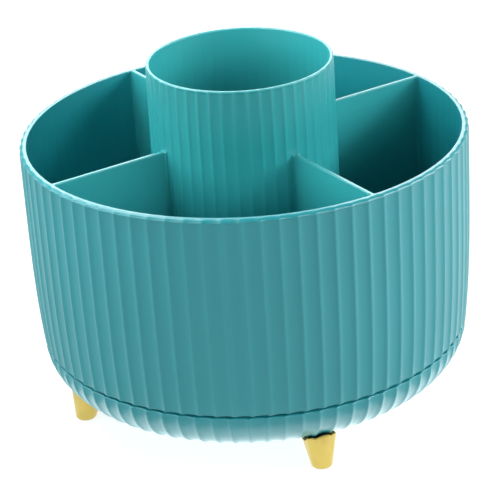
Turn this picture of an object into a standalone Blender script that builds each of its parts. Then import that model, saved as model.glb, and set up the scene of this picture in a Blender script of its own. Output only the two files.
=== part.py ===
"""Rotating makeup brush holder: a fluted tub with a centre cup and four dividers, which turns on a
ball bearing over a fluted tray with four petal feet.

Metres, +Z up. The origin is the centre of the footprint on the surface that the holder stands on, and
+Z is the axis that the tub turns about. At rest the dividers lie along X and Y.
"""
import math

import bmesh
import bpy
from mathutils import Matrix, Vector

MM = 0.001

# Clearances
FIT = 0.3 * MM              # between two pieces that touch or nest
TURN_CLEARANCE = 0.6 * MM   # between the turning skirt and the tray's wall
SEAM_GAP = 0.55 * MM        # the dark line between tub and tray
OVERRUN = 0.5 * MM          # how far a cutter passes the surface it opens

# Tub, seen from outside
RIM_RADIUS = 80.0 * MM      # over the flute ridges, at the rim
TUB_DRAFT = 1.8 * MM        # how much narrower the tub is at the seam
TUB_EASE = 4                # how early the wall gets upright: 1 is a plain cone
TUB_HEIGHT = 74.4 * MM      # from the seam to the rim
TUB_WALL = 1.85 * MM        # under the hollow of a flute
TUB_FLOOR = 2.4 * MM
TUB_EDGE = 0.5 * MM         # chamfer round the rim
FLOOR_FILLET = 12.0 * MM    # inside, between wall and floor
SKIRT_DEPTH = 5.7 * MM      # how deep the tub's bottom stands in the tray
SKIRT_FILLET = 4.6 * MM
TUB_LEVEL_SHARES = (0.0, 0.12, 0.35, 1.0)
FILLET_LIMIT_SHARE = 0.9

# Flutes: hollows side by side, with a narrow ridge between two of them
TUB_FLUTES = 80
FLUTE_DEPTH = 0.7 * MM
TUB_FLUTE_TURN = math.radians(2.5)
TRAY_FLUTE_TURN = math.radians(1.15)
CUP_FLUTES = 48
CUP_FLUTE_DEPTH = 0.35 * MM
FLUTE_POINTS = 3

# Centre cup
CUP_RADIUS = 32.7 * MM      # over the ridges, at its top
CUP_DRAFT = 1.35 * MM       # how much wider it is at the bottom
CUP_ABOVE_RIM = 26.1 * MM
CUP_WALL = 1.05 * MM        # at the top, under the hollow of a flute
CUP_INNER_DRAFT = 0.4 * MM  # how much narrower the inside is at the bottom
CUP_FLOOR = 2.0 * MM
CUP_LIP = 1.6 * MM          # plain band above the flutes
CUP_SEAT = 1.0 * MM         # depth of the recess that it stands in
CUP_EDGE = 0.3 * MM

# Dividers
DIVIDERS = 4
DIVIDER_THICKNESS = 1.6 * MM
DIVIDER_SEAT = 0.5 * MM     # how far its edge stands in the wall and the floor

# Tray
TRAY_FLOOR = 2.4 * MM
TRAY_WALL = 1.9 * MM        # at the rim, under the hollow of a flute
TRAY_INSET = 0.15 * MM      # its rim inside the tub's, over the ridges
TRAY_CORNER = 17.6 * MM     # width of the curved corner
TRAY_STANDOFF = 11.0 * MM   # underside above the surface
TRAY_CORNER_DEGREES = (0, 12, 26, 40, 62, 90)
TRAY_FADE_DEGREES = 40      # where the flutes reach their full depth
TRAY_INSIDE_DEGREES = (90, 60, 30, 0)

# Turntable bearing
BALLS = 12
BALL_RADIUS = 2.5 * MM
BALL_CIRCLE = 40.0 * MM
RACE_WIDTH = 9.0 * MM
RACE_THICKNESS = 2.5 * MM
RACE_GROOVE = 1.0 * MM
CAGE_WIDTH = 7.6 * MM
CAGE_THICKNESS = 2.0 * MM
RIB_THICKNESS = 1.6 * MM    # ring ribs that centre the races
RIB_HEIGHT = 1.8 * MM

# Pivot
BOSS_RADIUS = 5.0 * MM      # on the tub, turning in the tray's hub
HUB_RECESS = 4.4 * MM       # pocket under the hub
HUB_RECESS_RADIUS = 11.0 * MM
HUB_WALL = 2.4 * MM
WASHER_RADIUS = 8.5 * MM
WASHER_THICKNESS = 1.0 * MM
PIVOT_SHANK = 1.6 * MM
PIVOT_HEAD = 3.6 * MM
PIVOT_HEAD_HEIGHT = 1.8 * MM

# Feet
FEET = 4
FOOT_TURN = math.radians(-14.6)
FOOT_INSET = 14.3 * MM      # stem inside the rim's radius
FOOT_LEAN = 1.8 * MM        # how much further out the sole lies than the stem
FOOT_SOLE = 2.5 * MM
FOOT_SOLE_EDGE = 1.1 * MM
FOOT_LOW_RADIUS = 3.75 * MM
FOOT_TOP_RADIUS = 6.1 * MM   # at the height of the tray's underside
FOOT_CUP_DEPTH = 2.0 * MM   # hollow inside the petals
PETALS = 7
PETAL_POINTS = 3
PETAL_WALL = 0.9 * MM
PETAL_GAP = 0.7 * MM        # petal tips below the tray
PETAL_NOTCH = 0.8 * MM      # depth of the nicks between petals
PETAL_DIP = 0.3 * MM        # depth of the hollow lines between petals
PETAL_TURN = math.pi / PETALS  # of a nick, so that a petal points outwards
STEM_RADIUS = 2.5 * MM
COLLAR_WALL = 1.0 * MM
COLLAR_DROP = 0.6 * MM      # collar below the tray's underside
COLLAR_HEIGHT = 7.0 * MM    # collar above the tray's underside
COLLAR_CAP = 2.5 * MM       # what the screw clamps
FOOT_SHANK = 1.2 * MM
FOOT_SCREW_LENGTH = 12.6 * MM
FOOT_HEAD = 2.8 * MM
FOOT_HEAD_HEIGHT = 1.7 * MM
DRIVE_DEPTH = 0.8 * MM      # cross recess in a screw head
DRIVE_WIDTH = 0.8 * MM
DRIVE_LENGTH_SHARE = 1.1    # of the head's radius

# How finely round shapes are divided
WALL_SIDES = TUB_FLUTES
HUB_SIDES = 20
RACE_SIDES = 40
CUP_SIDES = CUP_FLUTES
SCREW_SIDES = 12
POCKET_SIDES = 12
FILLET_STEPS = 3
GROOVE_STEPS = 4
SMOOTH_ANGLE = math.radians(28)

# Heights, from the surface up
TRAY_FLOOR_Z = TRAY_STANDOFF + TRAY_FLOOR
LOWER_RACE_Z = TRAY_FLOOR_Z + FIT
LOWER_RACE_TOP_Z = LOWER_RACE_Z + RACE_THICKNESS
BALL_Z = LOWER_RACE_TOP_Z - RACE_GROOVE + FIT + BALL_RADIUS
UPPER_RACE_Z = BALL_Z + BALL_RADIUS + FIT - RACE_GROOVE
UPPER_RACE_TOP_Z = UPPER_RACE_Z + RACE_THICKNESS
TUB_Z = UPPER_RACE_TOP_Z + FIT
TUB_FLOOR_Z = TUB_Z + TUB_FLOOR
TUB_EDGE_Z = TUB_Z + SKIRT_DEPTH
TRAY_RIM_Z = TUB_EDGE_Z - SEAM_GAP
RIM_Z = TUB_EDGE_Z + TUB_HEIGHT
CUP_TOP_Z = RIM_Z + CUP_ABOVE_RIM
CUP_Z = TUB_FLOOR_Z - CUP_SEAT + FIT
CUP_FLOOR_Z = CUP_Z + CUP_FLOOR
HUB_Z = TRAY_STANDOFF + HUB_RECESS
HUB_TOP_Z = HUB_Z + HUB_WALL
BOSS_Z = HUB_Z - FIT
WASHER_TOP_Z = BOSS_Z - FIT
WASHER_Z = WASHER_TOP_Z - WASHER_THICKNESS
PIVOT_HEAD_Z = WASHER_Z - FIT
COLLAR_TOP_Z = TRAY_STANDOFF + COLLAR_HEIGHT
SOCKET_TOP_Z = COLLAR_TOP_Z - COLLAR_CAP
FOOT_HEAD_Z = COLLAR_TOP_Z + FIT
FOOT_SCREW_TIP_Z = FOOT_HEAD_Z - FOOT_SCREW_LENGTH
FOOT_CUP_Z = TRAY_STANDOFF - FOOT_CUP_DEPTH

# Radii that follow from the sizes above
SEAM_RADIUS = RIM_RADIUS - TUB_DRAFT
TRAY_RADIUS = SEAM_RADIUS - TRAY_INSET
TRAY_FLAT_RADIUS = TRAY_RADIUS - TRAY_CORNER
TRAY_INSIDE_RADIUS = TRAY_RADIUS - FLUTE_DEPTH - TRAY_WALL
SKIRT_RADIUS = TRAY_INSIDE_RADIUS - TURN_CLEARANCE
FOOT_CIRCLE = RIM_RADIUS - FOOT_INSET
CUP_BOTTOM_RADIUS = CUP_RADIUS + CUP_DRAFT
CUP_RECESS_RADIUS = CUP_BOTTOM_RADIUS + FIT
RACE_INNER = BALL_CIRCLE - RACE_WIDTH / 2
RACE_OUTER = BALL_CIRCLE + RACE_WIDTH / 2
PIVOT_HOLE = PIVOT_SHANK + FIT
FOOT_HOLE = FOOT_SHANK + FIT
SOCKET_RADIUS = STEM_RADIUS + FIT
COLLAR_RADIUS = SOCKET_RADIUS + COLLAR_WALL


def circle(sides, radius, height, turn=0.0):
    """One ring of points round the Z axis."""
    step = math.tau / sides
    return [Vector((radius * math.cos(turn + i * step), radius * math.sin(turn + i * step), height))
            for i in range(sides)]


def fluted_circle(flutes, radius, height, depth, turn, slope=0.0):
    """A ring that dips between ridges, as an arc does: inwards, and also upwards where the wall slopes."""
    sides = flutes * FLUTE_POINTS
    ring = circle(sides, 1.0, 0.0, turn)
    for i, point in enumerate(ring):
        across = (i % FLUTE_POINTS) / FLUTE_POINTS
        dip = depth * (1.0 - (2.0 * across - 1.0) ** 2) if across else 0.0
        point *= radius - dip * math.cos(slope)
        point.z = height + dip * math.sin(slope)
    return ring


def axis_point(height):
    """A ring of one point, which closes a turned shape on its axis."""
    return [Vector((0.0, 0.0, height))]


def stitch(bm, one, other):
    """Faces between two rings, of which the finer has a whole number of points to each of the coarser."""
    fine, coarse = (one, other) if len(one) >= len(other) else (other, one)
    ratio = len(fine) // len(coarse)
    near_start = (ratio + 1) // 2 if len(coarse) > 1 else ratio
    for i, start in enumerate(coarse):
        end = coarse[(i + 1) % len(coarse)]
        strip = [fine[(i * ratio + step) % len(fine)] for step in range(ratio + 1)]
        if ratio == 1:
            bm.faces.new((strip[0], strip[1], end, start))
            continue
        for step in range(ratio):
            bm.faces.new((strip[step], strip[step + 1], start if step < near_start else end))
        if len(coarse) > 1:
            bm.faces.new((strip[near_start], end, start))


def skin(name, rings, closed=False):
    """A mesh over rings of points, in order; closed joins the last ring to the first."""
    bm = bmesh.new()
    loops = [[bm.verts.new(point) for point in ring] for ring in rings]
    for one, other in zip(loops, loops[1:]):
        stitch(bm, one, other)
    if closed:
        stitch(bm, loops[-1], loops[0])
    return finish_mesh(name, bm)


def finish_mesh(name, bm):
    """Turn the faces outwards and shade the mesh smooth except at its real edges."""
    bmesh.ops.recalc_face_normals(bm, faces=bm.faces)
    mesh = bpy.data.meshes.new(name)
    bm.to_mesh(mesh)
    bm.free()
    mesh.shade_smooth()
    mesh.set_sharp_from_angle(angle=SMOOTH_ANGLE)
    return mesh


def plate(name, outline, thickness):
    """A flat plate: an outline in X and Z, extruded to both sides along Y."""
    bm = bmesh.new()
    corners = [bm.verts.new((x, -thickness / 2, z)) for x, z in outline]
    face = bm.faces.new(corners)
    extruded = bmesh.ops.extrude_face_region(bm, geom=[face])["geom"]
    moved = [item for item in extruded if isinstance(item, bmesh.types.BMVert)]
    bmesh.ops.translate(bm, verts=moved, vec=(0.0, thickness, 0.0))
    return finish_mesh(name, bm)


def join_copies(name, mesh, places):
    """One mesh that holds a copy of another at each place, used as a cutter or an addition."""
    bm = bmesh.new()
    for place in places:
        start = len(bm.verts)
        bm.from_mesh(mesh)
        bm.verts.ensure_lookup_table()
        bmesh.ops.transform(bm, matrix=place, verts=bm.verts[start:])
    return finish_mesh(name, bm)


def material(name, colour, roughness, metallic=0.0):
    made = bpy.data.materials.new(name)
    made.use_nodes = True
    shader = made.node_tree.nodes["Principled BSDF"]
    shader.inputs["Base Color"].default_value = (*colour, 1.0)
    shader.inputs["Roughness"].default_value = roughness
    shader.inputs["Metallic"].default_value = metallic
    return made


def body(name):
    """The parent of every piece that moves together, on the turning axis."""
    holder = bpy.data.objects.new(name, None)
    bpy.context.collection.objects.link(holder)
    return holder


def piece(name, mesh, finish, parent, place=Matrix.Identity(4)):
    made = bpy.data.objects.new(name, mesh)
    bpy.context.collection.objects.link(made)
    made.matrix_world = place
    made.parent = parent
    if not mesh.materials:
        mesh.materials.append(finish)
    return made


def boolean(target, mesh, operation):
    """Cut a helper shape from a piece, or add one to it."""
    helper = bpy.data.objects.new(mesh.name, mesh)
    bpy.context.collection.objects.link(helper)
    helper.display_type = "WIRE"
    helper.hide_render = True
    modifier = target.modifiers.new(mesh.name, "BOOLEAN")
    modifier.operation = operation
    modifier.solver = "EXACT"
    modifier.object = helper


def turned(angle):
    return Matrix.Rotation(angle, 4, "Z")


def on_circle(radius, angle, height=0.0):
    """A place on a circle round the axis, with its own X pointing outwards."""
    return turned(angle) @ Matrix.Translation((radius, 0.0, height))


def quarter_turns(count, first=0.0):
    return [first + math.tau * i / count for i in range(count)]


def tub_radius(height):
    """Ridge radius of the tub: nearly upright, drawn in towards the seam."""
    share = (height - TUB_EDGE_Z) / TUB_HEIGHT
    return SEAM_RADIUS + TUB_DRAFT * (1.0 - (1.0 - share) ** TUB_EASE)


def tub_inner_radius(height):
    return tub_radius(height) - FLUTE_DEPTH - TUB_WALL


def cup_radius(height):
    """Ridge radius of the centre cup, which widens evenly towards its bottom."""
    return CUP_RADIUS + CUP_DRAFT * (CUP_TOP_Z - height) / (CUP_TOP_Z - CUP_Z)


def tray_underside(radius):
    """Height of the tray's outer surface, over its ridges, at a distance from the axis."""
    across = max(0.0, radius - TRAY_FLAT_RADIUS) / TRAY_CORNER
    rise = TRAY_RIM_Z - TRAY_STANDOFF
    return TRAY_RIM_Z - rise * math.sqrt(max(0.0, 1.0 - across ** 2))


def arc(centre_radius, centre_height, radius, first, last, steps):
    """Points of an arc in radius and height; degrees count from straight down to outwards."""
    points = []
    for i in range(steps + 1):
        angle = math.radians(first + (last - first) * i / steps)
        points.append((centre_radius + radius * math.sin(angle), centre_height - radius * math.cos(angle)))
    return points


def wall_fillet(grow=0.0):
    """The inside corner between the tub's wall and floor, from the floor up."""
    top = TUB_FLOOR_Z + FLOOR_FILLET
    return arc(tub_inner_radius(top) - FLOOR_FILLET, top, FLOOR_FILLET + grow, 0, 90, FILLET_STEPS)


def make_fluted_tub(finish, parent):
    skirt_fillet = min(SKIRT_FILLET, FILLET_LIMIT_SHARE * SKIRT_DEPTH)
    rib_inner = RACE_OUTER + FIT
    rib_outer = rib_inner + RIB_THICKNESS
    rib_z = TUB_Z - RIB_HEIGHT
    rings = [axis_point(TUB_Z)]
    for radius, height in ((PIVOT_HOLE, TUB_Z), (PIVOT_HOLE, BOSS_Z), (BOSS_RADIUS, BOSS_Z), (BOSS_RADIUS, TUB_Z)):
        rings.append(circle(HUB_SIDES, radius, height, TUB_FLUTE_TURN))
    outline = [(rib_inner, TUB_Z), (rib_inner, rib_z), (rib_outer, rib_z), (rib_outer, TUB_Z)]
    outline += arc(SKIRT_RADIUS - skirt_fillet, TUB_Z + skirt_fillet, skirt_fillet, 0, 90, FILLET_STEPS)
    outline.append((SKIRT_RADIUS, TUB_EDGE_Z))
    rings += [circle(WALL_SIDES, radius, height, TUB_FLUTE_TURN) for radius, height in outline]
    for share in TUB_LEVEL_SHARES:
        height = TUB_EDGE_Z + share * (TUB_HEIGHT - TUB_EDGE)
        rings.append(fluted_circle(TUB_FLUTES, tub_radius(height), height, FLUTE_DEPTH, TUB_FLUTE_TURN))
    rings.append(fluted_circle(TUB_FLUTES, RIM_RADIUS - TUB_EDGE, RIM_Z, FLUTE_DEPTH, TUB_FLUTE_TURN))
    inside = [(tub_inner_radius(RIM_Z), RIM_Z)]
    inside += reversed(wall_fillet())
    inside += [(CUP_RECESS_RADIUS, TUB_FLOOR_Z), (CUP_RECESS_RADIUS, TUB_FLOOR_Z - CUP_SEAT)]
    rings += [circle(WALL_SIDES, radius, height, TUB_FLUTE_TURN) for radius, height in inside]
    rings.append(axis_point(TUB_FLOOR_Z - CUP_SEAT))
    tub = piece("fluted_tub", skin("fluted_tub", rings), finish, parent)

    slot = plate("divider_slot", divider_outline(FIT), DIVIDER_THICKNESS + 2 * FIT)
    slots = join_copies("divider_slots", slot, [turned(angle) for angle in quarter_turns(DIVIDERS)])
    boolean(tub, slots, "DIFFERENCE")


def divider_outline(grow=0.0):
    """Outline of a divider in radius and height; grow gives the slot that it stands in."""
    seat = DIVIDER_SEAT + grow
    top = RIM_Z + (OVERRUN if grow else 0.0)
    bottom = TUB_FLOOR_Z - seat
    if grow:
        inner_low = inner_high = CUP_RECESS_RADIUS - OVERRUN
    else:
        inner_low = cup_radius(bottom) + FIT
        inner_high = cup_radius(top) + FIT
    outline = [(inner_high, top), (inner_low, bottom)]
    outline += wall_fillet(seat)
    outline.append((tub_inner_radius(RIM_Z) + seat, top))
    return outline


def make_dividers(finish, parent):
    mesh = plate("divider", divider_outline(), DIVIDER_THICKNESS)
    for number, angle in enumerate(quarter_turns(DIVIDERS), start=1):
        piece(f"divider_{number}", mesh, finish, parent, turned(angle))


def make_centre_cup(finish, parent):
    inner_top = CUP_RADIUS - CUP_FLUTE_DEPTH - CUP_WALL
    inner_bottom = inner_top - CUP_INNER_DRAFT
    lip_z = CUP_TOP_Z - CUP_LIP
    shoulder_z = lip_z - CUP_LIP
    rings = [axis_point(CUP_Z), circle(CUP_SIDES, CUP_BOTTOM_RADIUS - CUP_FLUTE_DEPTH - CUP_EDGE, CUP_Z)]
    for height in (CUP_Z + CUP_EDGE, shoulder_z):
        rings.append(fluted_circle(CUP_FLUTES, cup_radius(height), height, CUP_FLUTE_DEPTH, 0.0))
    outline = [(cup_radius(lip_z), lip_z), (CUP_RADIUS, CUP_TOP_Z - CUP_EDGE), (CUP_RADIUS - CUP_EDGE, CUP_TOP_Z),
               (inner_top, CUP_TOP_Z), (inner_bottom, CUP_FLOOR_Z)]
    rings += [circle(CUP_SIDES, radius, height) for radius, height in outline]
    rings.append(axis_point(CUP_FLOOR_Z))
    piece("centre_cup", skin("centre_cup", rings), finish, parent)


def make_base_tray(finish, parent):
    turn = TRAY_FLUTE_TURN
    rib_outer = RACE_INNER - FIT
    rib_inner = rib_outer - RIB_THICKNESS
    rib_z = TRAY_FLOOR_Z + RIB_HEIGHT
    hub_outer = HUB_RECESS_RADIUS + HUB_WALL
    bore = BOSS_RADIUS + FIT
    rise = TRAY_RIM_Z - TRAY_STANDOFF
    under = [(bore, HUB_Z), (HUB_RECESS_RADIUS, HUB_Z), (HUB_RECESS_RADIUS, TRAY_STANDOFF)]
    rings = [circle(HUB_SIDES, radius, height, turn) for radius, height in under]
    for degrees in TRAY_CORNER_DEGREES:
        radius = TRAY_FLAT_RADIUS + TRAY_CORNER * math.sin(math.radians(degrees))
        height = TRAY_RIM_Z - rise * math.cos(math.radians(degrees))
        depth = FLUTE_DEPTH * min(1.0, degrees / TRAY_FADE_DEGREES)
        rings.append(fluted_circle(TUB_FLUTES, radius, height, depth, turn, math.radians(90 - degrees)))
    inside_rise = TRAY_RIM_Z - TRAY_FLOOR_Z
    inside_width = TRAY_INSIDE_RADIUS - TRAY_FLAT_RADIUS
    inside = [(TRAY_FLAT_RADIUS + inside_width * math.sin(math.radians(degrees)),
               TRAY_RIM_Z - inside_rise * math.cos(math.radians(degrees))) for degrees in TRAY_INSIDE_DEGREES]
    inside += [(rib_outer, TRAY_FLOOR_Z), (rib_outer, rib_z), (rib_inner, rib_z), (rib_inner, TRAY_FLOOR_Z)]
    rings += [circle(WALL_SIDES, radius, height, turn) for radius, height in inside]
    hub = [(hub_outer, TRAY_FLOOR_Z), (hub_outer, HUB_TOP_Z), (bore, HUB_TOP_Z)]
    rings += [circle(HUB_SIDES, radius, height, turn) for radius, height in hub]
    tray = piece("base_tray", skin("base_tray", rings, closed=True), finish, parent)

    places = [on_circle(FOOT_CIRCLE, angle) for angle in quarter_turns(FEET, FOOT_TURN)]
    collar = [(COLLAR_RADIUS, TRAY_STANDOFF - COLLAR_DROP), (COLLAR_RADIUS, COLLAR_TOP_Z)]
    boolean(tray, join_copies("foot_collars", turned_solid("foot_collar", collar, HUB_SIDES), places), "UNION")
    socket = [(SOCKET_RADIUS, TRAY_STANDOFF - COLLAR_DROP - OVERRUN), (SOCKET_RADIUS, SOCKET_TOP_Z),
              (FOOT_HOLE, SOCKET_TOP_Z), (FOOT_HOLE, COLLAR_TOP_Z + OVERRUN)]
    boolean(tray, join_copies("foot_sockets", turned_solid("foot_socket", socket, HUB_SIDES), places), "DIFFERENCE")


def turned_solid(name, outline, sides):
    """A solid turned about its own axis, closed at both ends by flat faces."""
    rings = [axis_point(outline[0][1])]
    rings += [circle(sides, radius, height) for radius, height in outline]
    rings.append(axis_point(outline[-1][1]))
    return skin(name, rings)


def turned_ring(name, outline, sides):
    return skin(name, [circle(sides, radius, height) for radius, height in outline], closed=True)


def race_outline(base, groove_side):
    """Section of a race: a flat ring whose groove opens towards the balls."""
    face = base + RACE_THICKNESS if groove_side > 0 else base
    back = base if groove_side > 0 else base + RACE_THICKNESS
    groove_radius = BALL_RADIUS + FIT
    half_angle = math.acos((groove_radius - RACE_GROOVE) / groove_radius)
    outline = [(RACE_OUTER, back), (RACE_OUTER, face)]
    for i in range(GROOVE_STEPS + 1):
        angle = half_angle * (1.0 - 2.0 * i / GROOVE_STEPS)
        depth = groove_radius * math.cos(angle) - (groove_radius - RACE_GROOVE)
        outline.append((BALL_CIRCLE + groove_radius * math.sin(angle), face - groove_side * depth))
    outline += [(RACE_INNER, face), (RACE_INNER, back)]
    return outline


def make_bearing(plastic, steel, base, carousel, carrier):
    piece("lower_race", turned_ring("lower_race", race_outline(LOWER_RACE_Z, 1), RACE_SIDES), plastic, base)
    piece("upper_race", turned_ring("upper_race", race_outline(UPPER_RACE_Z, -1), RACE_SIDES), plastic, carousel)
    inner = BALL_CIRCLE - CAGE_WIDTH / 2
    outer = BALL_CIRCLE + CAGE_WIDTH / 2
    low = BALL_Z - CAGE_THICKNESS / 2
    high = BALL_Z + CAGE_THICKNESS / 2
    cage_outline = [(inner, low), (outer, low), (outer, high), (inner, high)]
    cage = piece("ball_cage", turned_ring("ball_cage", cage_outline, RACE_SIDES), plastic, carrier)
    pocket = [(BALL_RADIUS + FIT, low - OVERRUN), (BALL_RADIUS + FIT, high + OVERRUN)]
    places = [on_circle(BALL_CIRCLE, angle) for angle in quarter_turns(BALLS)]
    pockets = join_copies("ball_pockets", turned_solid("ball_pocket", pocket, POCKET_SIDES), places)
    boolean(cage, pockets, "DIFFERENCE")

    bm = bmesh.new()
    bmesh.ops.create_icosphere(bm, subdivisions=2, radius=BALL_RADIUS)
    ball = finish_mesh("ball", bm)
    for number, angle in enumerate(quarter_turns(BALLS), start=1):
        piece(f"ball_{number:02d}", ball, steel, carrier, on_circle(BALL_CIRCLE, angle, BALL_Z))


def screw_mesh(name, shank, length, head, head_height):
    """A pan head screw at the origin: shank along +Z, head below, cross recess from below."""
    outline = [(head - DRIVE_WIDTH / 2, -head_height), (head, -head_height / 2), (head, 0.0), (shank, 0.0),
               (shank, length)]
    return turned_solid(name, outline, SCREW_SIDES)


def cut_drive(screw, name, head, head_height):
    reach = DRIVE_LENGTH_SHARE * head
    box = [(-reach / 2, -head_height - OVERRUN), (reach / 2, -head_height - OVERRUN),
           (reach / 2, DRIVE_DEPTH - head_height), (-reach / 2, DRIVE_DEPTH - head_height)]
    for turn, suffix in ((0.0, "a"), (math.pi / 2, "b")):
        bar = plate(f"{name}_{suffix}", box, DRIVE_WIDTH)
        bar.transform(screw.matrix_world @ turned(turn))
        boolean(screw, bar, "DIFFERENCE")


def make_pivot(steel, carousel):
    length = TUB_Z - FIT - PIVOT_HEAD_Z
    mesh = screw_mesh("pivot_screw", PIVOT_SHANK, length, PIVOT_HEAD, PIVOT_HEAD_HEIGHT)
    screw = piece("pivot_screw", mesh, steel, carousel, Matrix.Translation((0.0, 0.0, PIVOT_HEAD_Z)))
    cut_drive(screw, "pivot_drive", PIVOT_HEAD, PIVOT_HEAD_HEIGHT)
    washer = [(PIVOT_HOLE, WASHER_Z), (WASHER_RADIUS, WASHER_Z), (WASHER_RADIUS, WASHER_TOP_Z),
              (PIVOT_HOLE, WASHER_TOP_Z)]
    piece("pivot_washer", turned_ring("pivot_washer", washer, HUB_SIDES), steel, carousel)


def foot_radius(height):
    """Outer radius of a foot above its rounded sole."""
    slope = (FOOT_TOP_RADIUS - FOOT_LOW_RADIUS) / (TRAY_STANDOFF - FOOT_SOLE_EDGE)
    return FOOT_LOW_RADIUS + slope * (height - FOOT_SOLE_EDGE)


def leaning(ring):
    """A ring of a foot, moved outwards by the lean at its height."""
    for point in ring:
        point.x += FOOT_LEAN * (1.0 - point.z / TRAY_STANDOFF)
    return ring


def petal_ring(inset, dip, height=None):
    """A ring of a foot. Without a height it runs along the scalloped tips, which follow the tray."""
    ring = circle(PETALS * PETAL_POINTS, 1.0, 0.0, PETAL_TURN)
    for i, point in enumerate(ring):
        across = (i % PETAL_POINTS) / PETAL_POINTS
        nick = 1.0 - math.sin(math.pi * across)
        tip = height
        if height is None:
            reach = foot_radius(TRAY_STANDOFF)
            from_axis = math.hypot(FOOT_CIRCLE + reach * point.x, reach * point.y)
            tip = tray_underside(from_axis) - PETAL_GAP - PETAL_NOTCH * nick
        point *= foot_radius(tip) - inset - dip * nick
        point.z = tip
    return leaning(ring)


def foot_mesh():
    """A foot about its stem, with X pointing outwards."""
    sides = PETALS * PETAL_POINTS
    pilot_z = FOOT_SCREW_TIP_Z - FIT
    stem_top = SOCKET_TOP_Z - FIT
    rings = [leaning(axis_point(0.0)), leaning(circle(sides, FOOT_SOLE, 0.0, PETAL_TURN)),
             petal_ring(0.0, 0.0, FOOT_SOLE_EDGE), petal_ring(0.0, PETAL_DIP, FOOT_CUP_Z),
             petal_ring(0.0, PETAL_DIP), petal_ring(PETAL_WALL, 0.0), petal_ring(PETAL_WALL, 0.0, FOOT_CUP_Z)]
    for radius, height in ((STEM_RADIUS, FOOT_CUP_Z), (STEM_RADIUS, stem_top), (FOOT_HOLE, stem_top),
                           (FOOT_HOLE, pilot_z)):
        rings.append(circle(sides, radius, height, PETAL_TURN))
    rings.append(axis_point(pilot_z))
    return skin("foot", rings)


def make_feet(gold, steel, parent):
    foot = foot_mesh()
    screw = screw_mesh("foot_screw", FOOT_SHANK, FOOT_SCREW_LENGTH, FOOT_HEAD, FOOT_HEAD_HEIGHT)
    upside_down = Matrix.Rotation(math.pi, 4, "X")
    for number, angle in enumerate(quarter_turns(FEET, FOOT_TURN), start=1):
        piece(f"foot_{number}", foot, gold, parent, on_circle(FOOT_CIRCLE, angle))
        place = on_circle(FOOT_CIRCLE, angle, FOOT_HEAD_Z) @ upside_down
        made = piece(f"foot_screw_{number}", screw, steel, parent, place)
        cut_drive(made, f"foot_drive_{number}", FOOT_HEAD, FOOT_HEAD_HEIGHT)


def main():
    for old in list(bpy.data.objects):
        bpy.data.objects.remove(old, do_unlink=True)
    teal = material("teal_plastic", (0.045, 0.31, 0.34), 0.38)
    gold = material("gold_plating", (0.78, 0.58, 0.16), 0.18, 1.0)
    steel = material("bright_steel", (0.55, 0.56, 0.58), 0.22, 1.0)
    bearing_plastic = material("bearing_plastic", (0.82, 0.82, 0.80), 0.45)
    base = body("base")
    carousel = body("carousel")
    carrier = body("ball_carrier")
    make_fluted_tub(teal, carousel)
    make_centre_cup(teal, carousel)
    make_dividers(teal, carousel)
    make_pivot(steel, carousel)
    make_bearing(bearing_plastic, steel, base, carousel, carrier)
    make_base_tray(teal, base)
    make_feet(gold, steel, base)


main()
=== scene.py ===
# %% [markdown]
# # A rotating makeup brush holder
#
# The holder is a round fluted tub of teal plastic with a taller cup in its middle and four dividers.
# It turns on a ball bearing over a shallow fluted tray that stands on four small gold feet.
#
# The solids come from a CAD model that is loaded as a fixed frame. This lesson gives every one of them
# its finished surface: fine flutes, rounded edges, petals, and materials made of nodes.

# %% Load the frame
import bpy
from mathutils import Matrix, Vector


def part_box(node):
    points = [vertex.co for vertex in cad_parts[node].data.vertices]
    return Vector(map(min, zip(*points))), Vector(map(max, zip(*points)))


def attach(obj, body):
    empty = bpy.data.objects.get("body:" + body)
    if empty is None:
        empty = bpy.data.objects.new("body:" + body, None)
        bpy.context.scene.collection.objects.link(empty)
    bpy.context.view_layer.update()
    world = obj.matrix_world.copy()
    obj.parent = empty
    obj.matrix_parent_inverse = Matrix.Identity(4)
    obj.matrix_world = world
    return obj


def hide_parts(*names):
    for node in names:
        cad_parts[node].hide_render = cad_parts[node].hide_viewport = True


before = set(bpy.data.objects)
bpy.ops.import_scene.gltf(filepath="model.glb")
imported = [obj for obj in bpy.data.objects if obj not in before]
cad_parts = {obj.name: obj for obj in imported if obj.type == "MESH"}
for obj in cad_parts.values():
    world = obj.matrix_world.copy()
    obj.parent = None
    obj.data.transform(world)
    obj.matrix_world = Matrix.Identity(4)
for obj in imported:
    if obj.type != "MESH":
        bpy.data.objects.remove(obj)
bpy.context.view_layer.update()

print("nodes:", len(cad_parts))

# %% Modules and units
import math

import bmesh
import bpy
from mathutils import Matrix, Vector

MM = 0.001
scene = bpy.context.scene
print("one unit is a metre, and MM is", MM)

# %% [markdown]
# ## Sizes
#
# A dressed piece has to fit the solid that it stands for, so the overall sizes are read from the frame.
# Those that a box can't give, such as a wall's thickness, follow the solids. A few that the photograph
# shows more closely, such as the turn and depth of the flutes and the seam, were measured there again.

# %% Sizes read from the frame
TUB_FLUTES = 80
CUP_FLUTES = 48
TUB_TURN = math.radians(1.9)
TRAY_TURN = math.radians(0.8)
CUP_TURN = math.radians(0.8)

tub_low, tub_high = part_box("fluted_tub")
cup_low, cup_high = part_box("centre_cup")
tray_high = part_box("base_tray")[1]
race_low, race_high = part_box("upper_race")
lower_race_low, lower_race_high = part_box("lower_race")
foot_screw_low, foot_screw_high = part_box("foot_screw_1")

RIM_Z = tub_high.z
RIM_RADIUS = tub_high.x / math.cos(TUB_TURN)
CUP_TOP_Z = cup_high.z
CUP_Z = cup_low.z
CUP_BOTTOM_RADIUS = cup_high.x
TRAY_RIM_Z = tray_high.z
BOSS_Z = tub_low.z
print(f"rim {RIM_RADIUS / MM:.1f} mm in radius at {RIM_Z / MM:.1f} mm, cup to {CUP_TOP_Z / MM:.1f} mm")

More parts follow.
